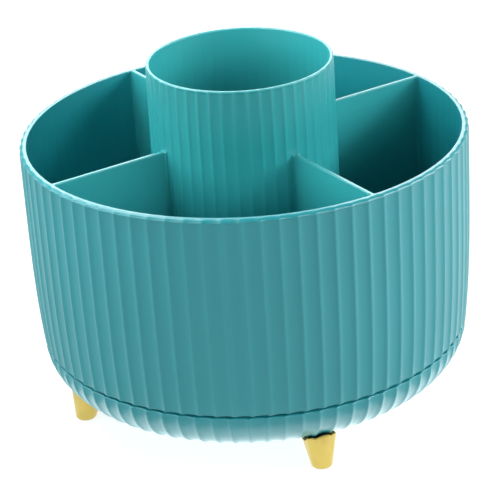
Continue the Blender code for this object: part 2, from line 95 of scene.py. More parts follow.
# %% Sizes of the walls
FIT = 0.3 * MM
SEAM_GAP = 0.95 * MM
FLUTE_DEPTH = 0.6 * MM
CUP_FLUTE_DEPTH = 0.35 * MM
TUB_DRAFT = 1.8 * MM
TUB_EASE = 4
TUB_WALL = 1.95 * MM
TRAY_WALL = 2.0 * MM
TUB_FLOOR = 2.4 * MM
FLOOR_FILLET = 12.0 * MM
CUP_DRAFT = 0.9 * MM
CUP_WALL = 1.05 * MM
CUP_INNER_DRAFT = 0.4 * MM
CUP_FLOOR = 2.0 * MM
CUP_SEAT = 1.0 * MM

TUB_EDGE_Z = TRAY_RIM_Z + SEAM_GAP
TUB_Z = race_high.z + FIT
TUB_FLOOR_Z = TUB_Z + TUB_FLOOR
SEAM_RADIUS = RIM_RADIUS - TUB_DRAFT
TRAY_INSET = 0.15 * MM
TRAY_RADIUS = SEAM_RADIUS - TRAY_INSET
TRAY_INSIDE_RADIUS = TRAY_RADIUS - FLUTE_DEPTH - TRAY_WALL
SKIRT_PLAY = 0.6 * MM
SKIRT_RADIUS = TRAY_INSIDE_RADIUS - SKIRT_PLAY
CUP_RADIUS = CUP_BOTTOM_RADIUS - CUP_DRAFT
print(f"the seam is {TRAY_RIM_Z / MM:.2f} mm above the table, the tub's floor {TUB_FLOOR_Z / MM:.1f} mm")


# %% [markdown]
# ## A profile with rounded corners
#
# Tub, cup and tray are turned shapes. Each starts as a profile of radius and height, as on a lathe.
# Moulded plastic has no sharp corner, and it is the small rounding that catches the light, so every
# corner can carry its own radius. A last number or two say how deep the flutes cut there: first inwards,
# 1 on the outside and 0 on plain walls, then upwards, where the wall turns under. What is left out is 0.

# %% Mesh and profile helpers
SMALL_STEPS = 4
WIDE_STEPS = 10
WIDE_BEND = 2.0 * MM


def mesh_of(name, bm):
    """The result of bm as a mesh; bm is freed."""
    mesh = bpy.data.meshes.new(name)
    bm.to_mesh(mesh)
    bm.free()
    return mesh


def rounded(corners):
    """Points (radius, height, inward, upward) along corners (radius, height, rounding, inward, upward)."""
    points = []
    for i, corner in enumerate(corners):
        radius, height, bend, inward, upward = (*corner, 0.0, 0.0, 0.0)[:5]
        if not bend:
            points.append((radius, height, inward, upward))
            continue
        steps = WIDE_STEPS if bend > WIDE_BEND else SMALL_STEPS
        here = Vector((radius, height))
        to_last = (Vector(corners[i - 1][:2]) - here).normalized()
        to_next = (Vector(corners[(i + 1) % len(corners)][:2]) - here).normalized()
        half = to_last.angle(to_next) / 2
        centre = here + (to_last + to_next).normalized() * (bend / math.sin(half))
        start = here + to_last * (bend / math.tan(half)) - centre
        end = here + to_next * (bend / math.tan(half)) - centre
        for k in range(steps + 1):
            # points of the chord, pushed out to the arc
            spoke = start.lerp(end, k / steps).normalized() * bend
            points.append((centre.x + spoke.x, centre.y + spoke.y, inward, upward))
    return points


print("a square corner becomes", len(rounded([(0, 0), (1, 0, 0.2), (1, 1)])), "points")


# %% [markdown]
# ## One flute, then all of them
#
# The wall is the same flute again and again, so only one wedge of it is drawn: the whole section of the
# wall, as wide as one flute. The flutes are broad and nearly flat, with a narrow rib between each two.
# A sharp rib would look like folded tin, so each has a round crown that runs smoothly into the hollows.

# %% One wedge of a fluted wall
CROWN = 0.08
FLATNESS = 3
HALF_ACROSS = (0.0, 0.04, CROWN, 0.13, 0.21, 0.33, 0.5)
ACROSS = HALF_ACROSS + tuple(1.0 - share for share in reversed(HALF_ACROSS[:-1]))


def hollow(across):
    """Depth of a flute at a share of its width: 0 on the ribs, 1 in the middle."""
    from_rib = min(across, 1.0 - across)
    fullness = 1.0 + (FLATNESS - 2) * CROWN
    if from_rib < CROWN:
        return FLATNESS * from_rib ** 2 / (CROWN * fullness)
    return 1.0 - (1.0 - 2.0 * from_rib) ** FLATNESS / ((1.0 - 2.0 * CROWN) ** (FLATNESS - 1) * fullness)


def wedge(name, profile, flutes, depth, closed=False):
    """Mesh of one flute's width of a turned wall."""
    bm = bmesh.new()
    pitch = math.tau / flutes
    columns = []
    for share in ACROSS:
        dip = depth * hollow(share)
        spin = Matrix.Rotation(pitch * share, 4, "Z")
        columns.append([bm.verts.new(spin @ Vector((radius - dip * inward, 0.0, height + dip * upward)))
                        for radius, height, inward, upward in profile])
    rows = len(profile)
    for left, right in zip(columns, columns[1:]):
        for row in range(rows if closed else rows - 1):
            up = (row + 1) % rows
            bm.faces.new((left[row], right[row], right[up], left[up]))
    return mesh_of(name, bm)


print("middle of a flute:", round(hollow(0.5), 3), "a tenth in:", round(hollow(0.1), 3))

# %% [markdown]
# ## Geometry Nodes: repeat round the axis
#
# One node tree turns a wedge into a full ring. It makes as many points as there are copies, all on the
# axis, and turns the instance on each by its index. The same tree sets out dividers, feet, screws and
# balls. Its result is made a plain mesh, and there the edges of neighbouring wedges are welded.

# %% The tree that repeats round the axis


def node(tree, kind, inputs=None, **settings):
    """A new node, with its settings and the values of some inputs."""
    made = tree.nodes.new(kind)
    for key, value in settings.items():
        setattr(made, key, value)
    for label, value in (inputs or {}).items():
        made.inputs[label].default_value = value
    return made


def wire(tree, *links):
    """Link nodes; each link says from which node and output to which node and input."""
    for source, output, target, entry in links:
        tree.links.new(source.outputs[output], target.inputs[entry])


def new_tree(name, kind, inputs, outputs):
    """A node group and its two end nodes; a socket is its name, its type and, for some, a value."""
    tree = bpy.data.node_groups.new(name, kind)
    for direction, sockets in (("INPUT", inputs), ("OUTPUT", outputs)):
        for label, socket, *value in sockets:
            made = tree.interface.new_socket(label, in_out=direction, socket_type=f"NodeSocket{socket}")
            if value:
                made.default_value = value[0]
    return tree, node(tree, "NodeGroupInput"), node(tree, "NodeGroupOutput")


def repeat_tree():
    tree, start, end = new_tree(
        "repeat_round_axis", "GeometryNodeTree",
        [("Geometry", "Geometry"), ("Count", "Int"), ("First Angle", "Float"), ("Material", "Material")],
        [("Geometry", "Geometry")])
    points = node(tree, "GeometryNodePoints")
    index = node(tree, "GeometryNodeInputIndex")
    step = node(tree, "ShaderNodeMath", {0: math.tau}, operation="DIVIDE")
    angle = node(tree, "ShaderNodeMath", operation="MULTIPLY_ADD")
    vector = node(tree, "ShaderNodeCombineXYZ")
    rotation = node(tree, "FunctionNodeEulerToRotation")
    copies = node(tree, "GeometryNodeInstanceOnPoints")
    real = node(tree, "GeometryNodeRealizeInstances")
    paint = node(tree, "GeometryNodeSetMaterial")
    wire(tree, (start, "Count", points, "Count"), (start, "Count", step, 1), (index, 0, angle, 0),
         (step, 0, angle, 1), (start, "First Angle", angle, 2), (angle, 0, vector, "Z"),
         (vector, 0, rotation, 0), (points, 0, copies, "Points"), (start, "Geometry", copies, "Instance"),
         (rotation, 0, copies, "Rotation"), (copies, 0, real, 0), (real, 0, paint, "Geometry"),
         (start, "Material", paint, "Material"), (paint, 0, end, 0))
    return tree


REPEAT = repeat_tree()
print("tree inputs:", [item.name for item in REPEAT.interface.items_tree if item.in_out == "INPUT"])

# %% From a mesh to a finished piece
WELD = 0.002 * MM
CREASE = math.radians(32)


def in_scene(name, data):
    """An object with the data, linked to the scene."""
    made = bpy.data.objects.new(name, data)
    scene.collection.objects.link(made)
    return made


def applied(name, source):
    """The object's mesh after its modifiers; the object goes."""
    seen = source.evaluated_get(bpy.context.evaluated_depsgraph_get())
    mesh = bpy.data.meshes.new_from_object(seen)
    bpy.data.objects.remove(source)
    mesh.name = name
    return mesh


def finished(name, mesh, paint, crease=CREASE):
    """A piece at the origin, with its doubles welded and its faces turned outwards."""
    bm = bmesh.new()
    bm.from_mesh(mesh)
    bmesh.ops.remove_doubles(bm, verts=bm.verts, dist=WELD)
    bmesh.ops.recalc_face_normals(bm, faces=bm.faces)
    bm.to_mesh(mesh)
    bm.free()
    mesh.shade_smooth()
    mesh.set_sharp_from_angle(angle=crease)
    # a mesh that comes from the node tree also has an empty slot, so the slots are set afresh
    mesh.materials.clear()
    mesh.materials.append(paint)
    mesh.calc_loop_triangles()
    print(f"{name}: {len(mesh.loop_triangles)} triangles")
    return in_scene(name, mesh)


def repeated(name, mesh, count, paint, first=0.0, crease=CREASE):
    """The mesh, repeated round the axis by the node tree, as one plain mesh."""
    source = in_scene(name + "_source", mesh)
    modifier = source.modifiers.new("repeat", "NODES")
    modifier.node_group = REPEAT
    values = {"Count": count, "First Angle": first, "Material": paint}
    for item in REPEAT.interface.items_tree:
        if item.name in values:
            modifier[item.identifier] = values[item.name]
    return finished(name, applied(name, source), paint, crease)


print("crease angle:", round(math.degrees(CREASE)), "degrees")

# %% [markdown]
# ## Materials
#
# First come the effects that several materials share, each as a node group. A group only gives masks
# and values. The Principled shader that uses them stays in its material.
#
# Moulded plastic is never quite even: its colour clouds a little, and its skin has the fine grain of
# the mould. Plated and bare metal shows fine hairlines from polishing instead.

# %% Group: moulded skin


def moulded_skin():
    tree, start, end = new_tree(
        "moulded_skin", "ShaderNodeTree",
        [("Vector", "Vector"), ("Cloud Scale", "Float", 30.0), ("Grain Scale", "Float", 2500.0)],
        [("Cloud", "Float"), ("Grain", "Float")])
    cloud = node(tree, "ShaderNodeTexNoise", {"Detail": 3.0})
    grain = node(tree, "ShaderNodeTexNoise", {"Detail": 2.0})
    for texture, label, out in ((cloud, "Cloud Scale", "Cloud"), (grain, "Grain Scale", "Grain")):
        wire(tree, (start, "Vector", texture, "Vector"), (start, label, texture, "Scale"),
             (texture, "Fac", end, out))
    return tree


MOULDED_SKIN = moulded_skin()
print("outputs:", [socket.name for socket in MOULDED_SKIN.nodes["Group Output"].inputs if socket.name])

# %% Group: hairlines and dulled patches on metal
HAIRLINE_STRETCH = (1.0, 1.0, 0.06)


def worn_metal():
    tree, start, end = new_tree(
        "worn_metal", "ShaderNodeTree",
        [("Vector", "Vector"), ("Patch Scale", "Float", 160.0), ("Line Scale", "Float", 900.0)],
        [("Patches", "Float"), ("Lines", "Float")])
    squeeze = node(tree, "ShaderNodeVectorMath", {1: HAIRLINE_STRETCH}, operation="MULTIPLY")
    lines = node(tree, "ShaderNodeTexNoise", {"Detail": 4.0})
    patches = node(tree, "ShaderNodeTexNoise")
    wire(tree, (start, "Vector", squeeze, 0), (squeeze, 0, lines, "Vector"),
         (start, "Line Scale", lines, "Scale"), (start, "Vector", patches, "Vector"),
         (start, "Patch Scale", patches, "Scale"), (lines, "Fac", end, "Lines"),
         (patches, "Fac", end, "Patches"))
    return tree


WORN_METAL = worn_metal()
print("groups:", [tree.name for tree in bpy.data.node_groups])

# %% Helpers for materials
NOISE_LOW, NOISE_HIGH = 0.3, 0.7


def new_material(name, **sockets):
    """A material with a Principled shader and Object coordinates; sockets set constants on the shader."""
    made = bpy.data.materials.new(name)
    made.use_nodes = True
    tree = made.node_tree
    shader = tree.nodes["Principled BSDF"]
    for label, value in sockets.items():
        shader.inputs[label.replace("_", " ")].default_value = value
    place = node(tree, "ShaderNodeTexCoord")
    return made, tree, shader, place.outputs["Object"]


def placed(tree, inner, vector, *scales):
    """A shared group inside a material, with the scales of its broad and its fine mask."""
    used = node(tree, "ShaderNodeGroup", dict(enumerate(scales, start=1)), node_tree=inner)
    tree.links.new(vector, used.inputs["Vector"])
    return used.outputs


def spread(tree, value, low, high):
    """Map Range from where a noise mostly lies to a range of values."""
    ends = {"From Min": NOISE_LOW, "From Max": NOISE_HIGH, "To Min": low, "To Max": high}
    made = node(tree, "ShaderNodeMapRange", ends)
    tree.links.new(value, made.inputs["Value"])
    return made.outputs["Result"]


def two_tones(tree, value, dark, light):
    """Color Ramp between two colours."""
    ramp = node(tree, "ShaderNodeValToRGB")
    tree.links.new(value, ramp.inputs["Fac"])
    for element, position, colour in zip(ramp.color_ramp.elements, (NOISE_LOW, NOISE_HIGH), (dark, light)):
        element.position = position
        element.color = (*colour, 1.0)
    return ramp.outputs["Color"]


def surface(name, inner, scales, tones, roughness, depth, strength, **sockets):
    """A material whose colour and roughness follow a group's broad mask, and its bump the fine one."""
    made, tree, shader, vector = new_material(name, **sockets)
    broad, fine = placed(tree, inner, vector, *scales)
    bump = node(tree, "ShaderNodeBump", {"Distance": depth, "Strength": strength})
    link = tree.links.new
    link(two_tones(tree, broad, *tones), shader.inputs["Base Color"])
    link(spread(tree, broad, *roughness), shader.inputs["Roughness"])
    link(fine, bump.inputs["Height"])
    link(bump.outputs["Normal"], shader.inputs["Normal"])
    return made


print("material helpers ready")

# %% [markdown]
# ### Teal plastic
#
# The tub, cup, dividers and tray are one batch of satin plastic. Its colour is even, so the two tones of
# the ramp lie close together. The grain is finer than the flutes and only breaks up the gloss. The cup
# and the dividers get slightly paler tones of the same plastic: painted light that brightens their walls
# and the inside of the cup.
#
# The roughness varies only a little and stays above 0.28. Just below that the noise filter of the
# renderer starts to treat a surface as a mirror, and the edge of such a patch shows as a thin line.

# %% Teal plastic
GRAIN_DEPTH = 0.01 * MM
TEAL_TONES = (0.013, 0.285, 0.325), (0.016, 0.300, 0.345)
# painted light: paler tones of the same teal, for the cup and the dividers
PAINTED_LIGHT_TONES = (0.026, 0.335, 0.352), (0.030, 0.352, 0.372)
SATIN = dict(inner=MOULDED_SKIN, scales=(28.0, 2600.0), roughness=(0.285, 0.315), depth=GRAIN_DEPTH,
             strength=0.35, IOR=1.6)

TEAL = surface("satin_teal", tones=TEAL_TONES, **SATIN)
# the same teal with painted light, for the cup and the dividers
PAINTED_LIGHT_TEAL = surface("satin_teal_painted_light", tones=PAINTED_LIGHT_TONES, **SATIN)
print(TEAL.name, "nodes:", len(TEAL.node_tree.nodes))

# %% [markdown]
# ### The other finishes
#
# The feet are plastic with a satin gold plating. The screws are zinc plated, the balls are polished
# steel, and the rings of the bearing are a white slippery plastic that is not meant to be seen. The
# tray's seats for the feet, of which only a line shows, are painted nearly black: painted shade for the
# gap over the petals.

# %% Gold, zinc, steel, bearing plastic and painted shade on the seats
PATCH_SCALE = 150.0
HAIRLINE_STRENGTH = 0.4


def metal(name, dark, light, roughness, line_scale, depth):
    return surface(name, WORN_METAL, (PATCH_SCALE, line_scale), (dark, light), roughness, depth,
                   HAIRLINE_STRENGTH, Metallic=1.0)


# painted shade: a near black finish for the seats, standing in for the shade in the gap over the petals
def seat_painted_shade():
    made, tree, shader, vector = new_material("seat_painted_shade", Roughness=0.7, Specular_IOR_Level=0.1)
    cloud = placed(tree, MOULDED_SKIN, vector, 60.0)["Cloud"]
    tones = (0.006, 0.010, 0.010), (0.010, 0.015, 0.015)
    tree.links.new(two_tones(tree, cloud, *tones), shader.inputs["Base Color"])
    return made


GOLD = metal("satin_gold", (0.34, 0.265, 0.070), (0.38, 0.300, 0.080), (0.28, 0.34), 700.0, 0.004 * MM)
ZINC = metal("plated_zinc", (0.50, 0.51, 0.54), (0.62, 0.63, 0.64), (0.28, 0.36), 1500.0, 0.006 * MM)
STEEL = metal("polished_steel", (0.58, 0.58, 0.60), (0.66, 0.66, 0.67), (0.08, 0.14), 1200.0, 0.002 * MM)
BEARING = surface("white_plastic", MOULDED_SKIN, (60.0, 1800.0), ((0.74, 0.74, 0.71), (0.80, 0.80, 0.77)),
                  (0.42, 0.5), GRAIN_DEPTH, 0.5, IOR=1.45)
# painted shade for the seats of the feet
SHADE_ON_SEATS = seat_painted_shade()
print("materials:", [made.name for made in bpy.data.materials])

# %% [markdown]
# ## The fluted tub
#
# The tub is one moulding: a wall with 80 flutes, nearly upright and drawn in a little towards the seam,
# a floor, a skirt below the seam that nests in the tray, and a boss that turns in the tray's hub.
# Its section is drawn once, from the axis outwards, up the outside and down the inside. The flutes get
# shallower in the round band at the rim.

# %% Radii of the walls at a height


def tub_radius(height):
    """Ridge radius of the tub at a height."""
    share = (height - TUB_EDGE_Z) / (RIM_Z - TUB_EDGE_Z)
    return SEAM_RADIUS + TUB_DRAFT * (1.0 - (1.0 - share) ** TUB_EASE)


def tub_inner_radius(height):
    return tub_radius(height) - FLUTE_DEPTH - TUB_WALL


def cup_radius(height):
    """Ridge radius of the centre cup, which widens evenly towards its bottom."""
    return CUP_RADIUS + CUP_DRAFT * (CUP_TOP_Z - height) / (CUP_TOP_Z - CUP_Z)


def levels(low, high, count):
    """Heights between two ends, without the ends."""
    return [low + (high - low) * step / count for step in range(1, count)]


print(f"tub at the seam {tub_radius(TUB_EDGE_Z) / MM:.2f} mm, at the rim {tub_radius(RIM_Z) / MM:.2f} mm")

# %% Section of the tub
RACE_OUTER = race_high.x + FIT
RIB_WALL = 1.6 * MM
RIB_HEIGHT = 1.8 * MM
BOSS_RADIUS = 5.0 * MM
PIVOT_HOLE = 1.9 * MM
SKIRT_FILLET = 4.6 * MM
RIM_BAND = 1.3 * MM
RIM_WAVE = 0.6
TUB_RIPPLE = 0.12
TUB_STEPS = 10
TUB_INNER_STEPS = 4
# just under the band at the rim: distance in mm, and share of the flutes' depth
BAND_FADE = ((0.4, 1.0), (0.15, 0.9))
HOLE_EDGE = 0.15 * MM
FINE_EDGE = 0.2 * MM
SMALL_EDGE = 0.25 * MM
SOFT_EDGE = 0.3 * MM
BOSS_EDGE = 0.4 * MM
BOSS_FILLET = 0.5 * MM


def tub_section():
    rib_z = TUB_Z - RIB_HEIGHT
    fillet_top = TUB_FLOOR_Z + FLOOR_FILLET
    recess = CUP_BOTTOM_RADIUS + FIT
    corners = [(0.0, TUB_Z), (PIVOT_HOLE, TUB_Z), (PIVOT_HOLE, BOSS_Z, HOLE_EDGE),
               (BOSS_RADIUS, BOSS_Z, BOSS_EDGE), (BOSS_RADIUS, TUB_Z, BOSS_FILLET),
               (RACE_OUTER, TUB_Z, SMALL_EDGE), (RACE_OUTER, rib_z, SMALL_EDGE),
               (RACE_OUTER + RIB_WALL, rib_z, SMALL_EDGE), (RACE_OUTER + RIB_WALL, TUB_Z, SMALL_EDGE),
               (SKIRT_RADIUS, TUB_Z, SKIRT_FILLET), (SKIRT_RADIUS, TUB_EDGE_Z, FINE_EDGE),
               (SEAM_RADIUS, TUB_EDGE_Z, SOFT_EDGE, 1)]
    band_z = RIM_Z - RIM_BAND
    corners += [(tub_radius(height), height, 0, 1) for height in levels(TUB_EDGE_Z, band_z, TUB_STEPS)]
    for below, inward in BAND_FADE:
        corners.append((tub_radius(band_z - below * MM), band_z - below * MM, 0, inward))
    corners += [(RIM_RADIUS, RIM_Z, RIM_BAND, RIM_WAVE), (tub_inner_radius(RIM_Z), RIM_Z, SOFT_EDGE)]
    for height in levels(RIM_Z, fillet_top, TUB_INNER_STEPS):
        corners.append((tub_inner_radius(height), height, 0, TUB_RIPPLE))
    corners += [(tub_inner_radius(fillet_top), TUB_FLOOR_Z, FLOOR_FILLET),
                (recess, TUB_FLOOR_Z, SOFT_EDGE), (recess, TUB_FLOOR_Z - CUP_SEAT),
                (0.0, TUB_FLOOR_Z - CUP_SEAT)]
    return rounded(corners)


tub_profile = tub_section()
print("points in the section:", len(tub_profile))

# %% The tub
tub = repeated("tub", wedge("tub", tub_profile, TUB_FLUTES, FLUTE_DEPTH), TUB_FLUTES, TEAL, TUB_TURN)

# %% [markdown]
# ## The centre cup
#
# The cup has 48 shallower flutes that run up into a round lip. It is hollow down to its own floor, so
# that long brushes stand in it. Plastic shrinks most where it is thick, so each rib outside leaves a faint
# ripple on the wall inside. The tub has such ripples too.

# %% Section of the centre cup
CUP_LIP = 0.7 * MM
CUP_EDGE = 0.5 * MM
CUP_WAVE = 0.45
CUP_RIPPLE = 0.3
CUP_STEPS = 8
CUP_INNER_STEPS = 6
# round the lip's lower end: height over it in lips, and share of the flutes' depth
LIP_FADE = ((-0.6, 0.98), (-0.3, 0.85), (0.0, 0.6))
CUP_FILLET = 1.5 * MM


def cup_section():
    inner_top = CUP_RADIUS - CUP_FLUTE_DEPTH - CUP_WALL
    lip_z = CUP_TOP_Z - CUP_LIP
    corners = [(0.0, CUP_Z), (CUP_BOTTOM_RADIUS, CUP_Z, SOFT_EDGE, 1)]
    corners += [(cup_radius(height), height, 0, 1) for height in levels(CUP_Z, lip_z, CUP_STEPS)]
    for share, weight in LIP_FADE:
        height = lip_z + share * CUP_LIP
        corners.append((cup_radius(height), height, 0, weight))
    corners += [(CUP_RADIUS, CUP_TOP_Z, CUP_EDGE, CUP_WAVE), (inner_top, CUP_TOP_Z, CUP_EDGE)]
    inner_bottom = inner_top - CUP_INNER_DRAFT
    for height in levels(CUP_TOP_Z, CUP_Z + CUP_FLOOR, CUP_INNER_STEPS):
        share = (CUP_TOP_Z - height) / (CUP_TOP_Z - CUP_Z - CUP_FLOOR)
        corners.append((inner_top - share * CUP_INNER_DRAFT, height, 0, CUP_RIPPLE))
    corners += [(inner_bottom, CUP_Z + CUP_FLOOR, CUP_FILLET), (0.0, CUP_Z + CUP_FLOOR)]
    return rounded(corners)


# the cup gets the teal with painted light
cup = repeated("centre_cup_shell", wedge("cup", cup_section(), CUP_FLUTES, CUP_FLUTE_DEPTH), CUP_FLUTES,
               PAINTED_LIGHT_TEAL, CUP_TURN)

# %% [markdown]
# ## The dividers
#
# Four walls run from the cup to the tub and make the outer compartments. On a moulding they grow out
# of the walls without a joint: each end flares out in a small fillet, and the top edge is round.
# One divider is made as a grid of points, wall by wall, and the node tree sets it round the axis.

# %% One divider
DIVIDERS = 4
DIVIDER_STEPS = 4
DIVIDER_HALF = 0.8 * MM
DIVIDER_FLARE = 0.9 * MM
DIVIDER_EDGE = 0.45 * MM
DIVIDER_DROP = 0.08 * MM
DIVIDER_SINK = 0.2 * MM
FLARE_SHARES = (0.0, 0.04, 0.12, 0.25, 0.42, 0.65, 1.0)
EMBED = 0.5 * MM


def divider_end(height):
    """Where the divider meets the inside of the tub, round fillet and wall."""
    below = max(0.0, TUB_FLOOR_Z + FLOOR_FILLET - height)
    top = tub_inner_radius(max(height, TUB_FLOOR_Z + FLOOR_FILLET))
    return top - FLOOR_FILLET + math.sqrt(max(0.0, FLOOR_FILLET ** 2 - min(below, FLOOR_FILLET) ** 2))


def divider_rows():
    """Heights, each with how much thinner the wall is there."""
    top = RIM_Z - DIVIDER_DROP
    rows = [(TUB_FLOOR_Z - DIVIDER_SINK, 0.0)]
    for degrees in range(10, 91, 10):
        rows.append((TUB_FLOOR_Z + FLOOR_FILLET * (1.0 - math.cos(math.radians(degrees))), 0.0))
    edge = top - DIVIDER_EDGE
    rows += [(height, 0.0) for height in levels(TUB_FLOOR_Z + FLOOR_FILLET, edge, DIVIDER_STEPS)]
    for degrees in range(0, 91, 18):
        turn = math.radians(degrees)
        rows.append((edge + DIVIDER_EDGE * math.sin(turn), DIVIDER_EDGE * (1.0 - math.cos(turn))))
    return rows


def divider_mesh():
    offsets = [-EMBED] + [DIVIDER_FLARE * share for share in FLARE_SHARES]
    bm = bmesh.new()
    sides = {-1: [], 1: []}
    for height, thinner in divider_rows():
        inner = cup_radius(height)
        outer = divider_end(height)
        stops = [inner + offset for offset in offsets] + [(inner + outer) / 2]
        stops += [outer - offset for offset in reversed(offsets)]
        for side, grid in sides.items():
            row = []
            for radius in stops:
                near = max(0.0, DIVIDER_FLARE - max(0.0, min(radius - inner, outer - radius)))
                swell = DIVIDER_FLARE - math.sqrt(max(0.0, DIVIDER_FLARE ** 2 - near ** 2))
                half = DIVIDER_HALF + swell - thinner
                row.append(bm.verts.new((radius, side * half, height)))
            grid.append(row)
    left, right = sides.values()
    strips = list(zip(left, left[1:])) + list(zip(right, right[1:]))
    strips += [(left[0], right[0]), (left[-1], right[-1])]
    for column in (0, -1):
        strips.append(([row[column] for row in left], [row[column] for row in right]))
    for low, high in strips:
        for i in range(len(low) - 1):
            bm.faces.new((low[i], low[i + 1], high[i + 1], high[i]))
    return mesh_of("divider", bm)


# the dividers get the teal with painted light
dividers = repeated("dividers", divider_mesh(), DIVIDERS, PAINTED_LIGHT_TEAL)

# %% [markdown]
# ## The tray
#
# The tray carries the tub. Its flutes line up with nothing: the tub turns over it. They run down from
# the dark seam and round a wide curved corner, and fade where the bottom gets flat. Below is a pocket for
# the pivot. Inside are the hub and a ring rib that centres the bearing.

# %% Section of the tray
TRAY_CORNER = 17.6 * MM
TRAY_FLOOR = 2.4 * MM
TRAY_FLOOR_Z = lower_race_low.z - FIT
TRAY_STANDOFF = TRAY_FLOOR_Z - TRAY_FLOOR
TRAY_FADE = math.radians(40)
TRAY_EDGE = 0.45 * MM
TRAY_FLAT_RADIUS = TRAY_RADIUS - TRAY_CORNER
RACE_INNER = 35.5 * MM
HUB_POCKET = 11.0 * MM
HUB_Z = BOSS_Z + FIT
HUB_WALL = 2.4 * MM
CORNER_ARC = 12
INSIDE_ARC = 8


def quarter_arc(width, height, steps):
    """The curved corner of the tray, from straight below to the side: radius, height and turn."""
    for step in range(steps):
        turn = math.pi / 2 * step / steps
        yield TRAY_FLAT_RADIUS + width * math.sin(turn), TRAY_RIM_Z - height * math.cos(turn), turn


def tray_section():
    rib_outer = RACE_INNER - FIT
    rib_inner = rib_outer - RIB_WALL
    rib_z = TRAY_FLOOR_Z + RIB_HEIGHT
    bore = BOSS_RADIUS + FIT
    hub_top = HUB_Z + HUB_WALL
    corners = [(bore, HUB_Z, SMALL_EDGE), (HUB_POCKET, HUB_Z, BOSS_EDGE),
               (HUB_POCKET, TRAY_STANDOFF, BOSS_FILLET)]
    for radius, height, turn in quarter_arc(TRAY_CORNER, TRAY_RIM_Z - TRAY_STANDOFF, CORNER_ARC):
        depth = min(1.0, turn / TRAY_FADE)
        corners.append((radius, height, 0, depth * math.sin(turn), depth * math.cos(turn)))
    corners += [(TRAY_RADIUS, TRAY_RIM_Z, TRAY_EDGE, 1), (TRAY_INSIDE_RADIUS, TRAY_RIM_Z, SOFT_EDGE)]
    inside = quarter_arc(TRAY_INSIDE_RADIUS - TRAY_FLAT_RADIUS, TRAY_RIM_Z - TRAY_FLOOR_Z, INSIDE_ARC)
    corners += [(radius, height) for radius, height, _ in reversed(list(inside))]
    corners += [(rib_outer, TRAY_FLOOR_Z), (rib_outer, rib_z, SMALL_EDGE),
                (rib_inner, rib_z, SMALL_EDGE), (rib_inner, TRAY_FLOOR_Z, SMALL_EDGE),
                (HUB_POCKET + HUB_WALL, TRAY_FLOOR_Z, SMALL_EDGE),
                (HUB_POCKET + HUB_WALL, hub_top, SMALL_EDGE), (bore, hub_top, SMALL_EDGE)]
    return rounded(corners)


def tray_underside(radius):
    """Height of the tray's outer surface, over its ridges, at a distance from the axis."""
    across = max(0.0, radius - TRAY_FLAT_RADIUS) / TRAY_CORNER
    return TRAY_RIM_Z - (TRAY_RIM_Z - TRAY_STANDOFF) * math.sqrt(max(0.0, 1.0 - across ** 2))


tray = repeated("tray", wedge("tray", tray_section(), TUB_FLUTES, FLUTE_DEPTH, closed=True), TUB_FLUTES,
                TEAL, TRAY_TURN)

# %% Cutting and adding shapes


def shaped(mesh, other, operation, name):
    """The mesh after a Boolean with another one."""
    target = in_scene(name, mesh)
    helper = in_scene(name + "_helper", other)
    modifier = target.modifiers.new("shape", "BOOLEAN")
    modifier.operation = operation
    modifier.solver = "EXACT"
    modifier.object = helper
    result = applied(name, target)
    bpy.data.objects.remove(helper)
    assert result.polygons, f"the Boolean left nothing of {name}"
    return result


def band(bm, low, high):
    """Faces between two rings of points; a ring may be one point, again and again."""
    for i in range(len(low)):
        j = (i + 1) % len(low)
        bm.faces.new(list(dict.fromkeys((low[i], low[j], high[j], high[i]))))


def turned_mesh(name, corners, sides, closed=False):
    """A plain turned shape about its own axis, from a rounded section."""
    bm = bmesh.new()
    rings = []
    for radius, height, *_ in rounded(corners):
        if radius <= 0.0:
            rings.append([bm.verts.new((0.0, 0.0, height))] * sides)
            continue
        turns = [math.tau * i / sides for i in range(sides)]
        rings.append([bm.verts.new((radius * math.cos(turn), radius * math.sin(turn), height))
                      for turn in turns])
    pairs = list(zip(rings, rings[1:]))
    if closed:
        pairs.append((rings[-1], rings[0]))
    for low, high in pairs:
        band(bm, low, high)
    bmesh.ops.recalc_face_normals(bm, faces=bm.faces)
    return mesh_of(name, bm)


def moved_copies(name, mesh, places):
    """One mesh with a copy of the mesh at each place."""
    bm = bmesh.new()
    for place in places:
        start = len(bm.verts)
        bm.from_mesh(mesh)
        bm.verts.ensure_lookup_table()
        bmesh.ops.transform(bm, matrix=place, verts=bm.verts[start:])
    return mesh_of(name, bm)


def round_places(radius, angles):
    return [Matrix.Rotation(angle, 4, "Z") @ Matrix.Translation((radius, 0.0, 0.0)) for angle in angles]


print("shape helpers ready")

# %% Foot collars on the tray
FEET = 4
FOOT_CIRCLE = 65.7 * MM
FOOT_TURN = math.radians(-14.6)
STEM_RADIUS = 2.5 * MM
COLLAR_RADIUS = 3.8 * MM
COLLAR_DROP = 0.6 * MM
BORE_OVER = 1.0 * MM
SMALL_SIDES = 32
COLLAR_TOP_Z = TRAY_STANDOFF + 7.0 * MM
SOCKET_TOP_Z = COLLAR_TOP_Z - 2.5 * MM
FOOT_HOLE = 1.5 * MM
# how far round each foot's axis the faces get painted shade
SEAT_SHADE_MARGIN = 0.05 * MM
foot_angles = [FOOT_TURN + math.tau * i / FEET for i in range(FEET)]


